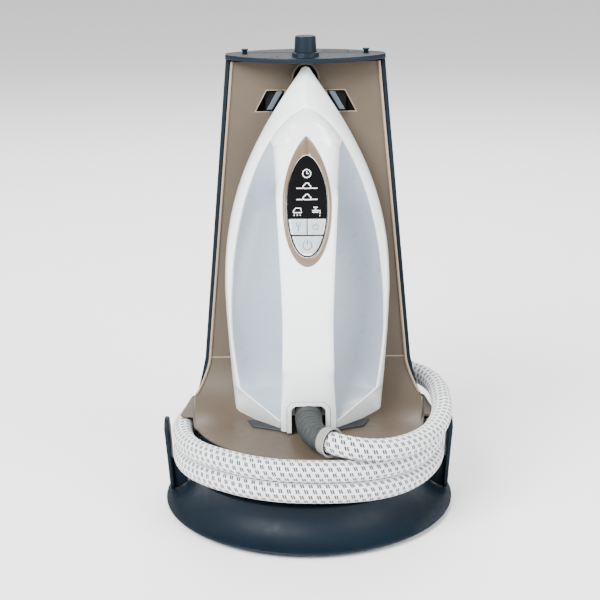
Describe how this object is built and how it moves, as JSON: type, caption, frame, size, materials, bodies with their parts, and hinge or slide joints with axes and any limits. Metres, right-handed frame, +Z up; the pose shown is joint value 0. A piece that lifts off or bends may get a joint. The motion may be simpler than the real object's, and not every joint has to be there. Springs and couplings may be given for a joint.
{
  "type": "steam generator iron",
  "caption": "Clothes iron parked upright on a round steam station, with a leaning dock, a removable tank behind it, a push-to-release lock and a braided hose wound round the base.",
  "frame": {"origin": "centre of the round base, on the floor", "axes": "+Z up, -Y towards the user and the iron's handle, +X to the user's right"},
  "size_m": [0.21, 0.21, 0.332],
  "materials": {
    "station_navy": "satin-gloss navy moulding, the colour of wet slate",
    "station_black": "fine-grained dark moulding",
    "panel_taupe": "pearl taupe moulding with a soft sheen",
    "iron_white": "glossy white moulding",
    "iron_grey": "satin blue-grey moulding",
    "bezel_bronze": "champagne satin trim",
    "display_black": "glossy black window with white symbols",
    "button_silver": "silver-painted keys",
    "guard_rubber": "soft ribbed rubber",
    "rubber_black": "soft black rubber",
    "ring_grey": "light grey moulding",
    "hose_braid": "woven white braid with dark blue flecks",
    "sole_metal": "brushed soleplate metal",
    "inner_metal": "cast and turned metal",
    "spring_steel": "drawn steel",
    "brass": "turned brass",
    "inner_plastic": "natural plastic",
    "tank_clear": "smoke-blue tank wall",
    "board_green": "circuit board",
    "silicone": "silicone tube"
  },
  "bodies": {
    "station": {"base_housing": "station_navy", "base_plate": "station_black", "feet": "rubber_black", "guard_left": "station_navy", "guard_right": "station_navy", "dock_panel": "panel_taupe", "tower_tray": "station_navy", "top_cover": "station_navy", "tip_pad": "rubber_black", "rest_pads": "rubber_black", "boiler": "inner_metal", "boiler_heater": "inner_metal", "steam_valve": "brass", "pump": "inner_plastic", "station_board": "board_green", "water_inlet": "inner_plastic", "water_line": "silicone", "steam_line": "silicone", "hose_gland": "ring_grey", "mains_gland": "rubber_black", "base_screws": "spring_steel", "hose_tail": "hose_braid", "hose_coil": "hose_braid", "hose_end": "hose_braid", "lock_spring": "spring_steel"},
    "drain": {"drain_cap": "station_black"},
    "lock": {"lock_knob": "station_navy", "lock_yoke": "station_navy"},
    "left_clip": {"clip_left": "station_navy"},
    "right_clip": {"clip_right": "station_navy"},
    "tank": {"water_tank": "tank_clear", "tank_lid": "station_navy", "tank_valve": "inner_plastic"},
    "flap": {"fill_flap": "station_navy"},
    "iron": {"soleplate": "sole_metal", "chamber_lid": "inner_metal", "sole_heater": "inner_metal", "thermostat": "inner_plastic", "heat_shield": "station_black", "body_shell": "iron_white", "scoop_panel": "iron_grey", "handle_top": "iron_white", "handle_under": "iron_white", "heel_liner": "iron_white", "heel_pad": "station_black", "bezel": "bezel_bronze", "control_fascia": "display_black", "control_board": "board_green", "button_mat": "silicone", "trigger_switch": "station_black", "steam_pipe": "silicone", "iron_screws": "spring_steel", "cord_guard": "guard_rubber", "guard_ring": "ring_grey", "hose_lead": "hose_braid", "trigger_spring": "spring_steel"},
    "key_left": {"button_left": "button_silver"},
    "key_right": {"button_right": "button_silver"},
    "key_power": {"button_power": "button_silver"},
    "trigger": {"steam_trigger": "ring_grey"}
  },
  "joints": [
    {"name": "iron_lift", "type": "slide", "parent": "station", "child": "iron", "axis": [0, -0.9781, 0.2079], "range_m": [0, 0.12]},
    {"name": "trigger_pull", "type": "hinge", "parent": "iron", "child": "trigger", "pos_m": [0, -0.03594, 0.19218], "axis": [1, 0, 0], "range_deg": [0, 7], "stiffness_Nm_per_rad": 0.6, "springref_deg": -5.73, "deforming": ["trigger_spring"]},
    {"name": "key_left_press", "type": "slide", "parent": "iron", "child": "key_left", "axis": [0, 0.9781, -0.2079], "range_m": [0, 0.0008], "stiffness_N_per_m": 1200, "springref_m": -0.001},
    {"name": "key_right_press", "type": "slide", "parent": "iron", "child": "key_right", "axis": [0, 0.9781, -0.2079], "range_m": [0, 0.0008], "stiffness_N_per_m": 1200, "springref_m": -0.001},
    {"name": "key_power_press", "type": "slide", "parent": "iron", "child": "key_power", "axis": [0, 0.9781, -0.2079], "range_m": [0, 0.0008], "stiffness_N_per_m": 1200, "springref_m": -0.001},
    {"name": "lock_push", "type": "slide", "parent": "station", "child": "lock", "axis": [0, 0, -1], "range_m": [0, 0.002], "stiffness_N_per_m": 800, "springref_m": -0.003, "deforming": ["lock_spring"]},
    {"name": "left_clip_slide", "type": "slide", "parent": "station", "child": "left_clip", "axis": [-1, 0, 0], "range_m": [0, 0.004]},
    {"name": "right_clip_slide", "type": "slide", "parent": "station", "child": "right_clip", "axis": [1, 0, 0], "range_m": [0, 0.004]},
    {"name": "tank_lift", "type": "slide", "parent": "station", "child": "tank", "axis": [0, 0.2079, 0.9781], "range_m": [0, 0.1]},
    {"name": "flap_hinge", "type": "hinge", "parent": "tank", "child": "flap", "pos_m": [0.0225, 0.086, 0.31555], "axis": [-1, 0, 0], "range_deg": [0, 100]},
    {"name": "drain_turn", "type": "hinge", "parent": "station", "child": "drain", "pos_m": [0, 0.076, 0.046], "axis": [0, 1, 0], "range_deg": [0, 90]}
  ],
  "couplings": [
    {"joint": "left_clip_slide", "follows": "lock_push", "ratio": 2},
    {"joint": "right_clip_slide", "follows": "lock_push", "ratio": 2}
  ]
}
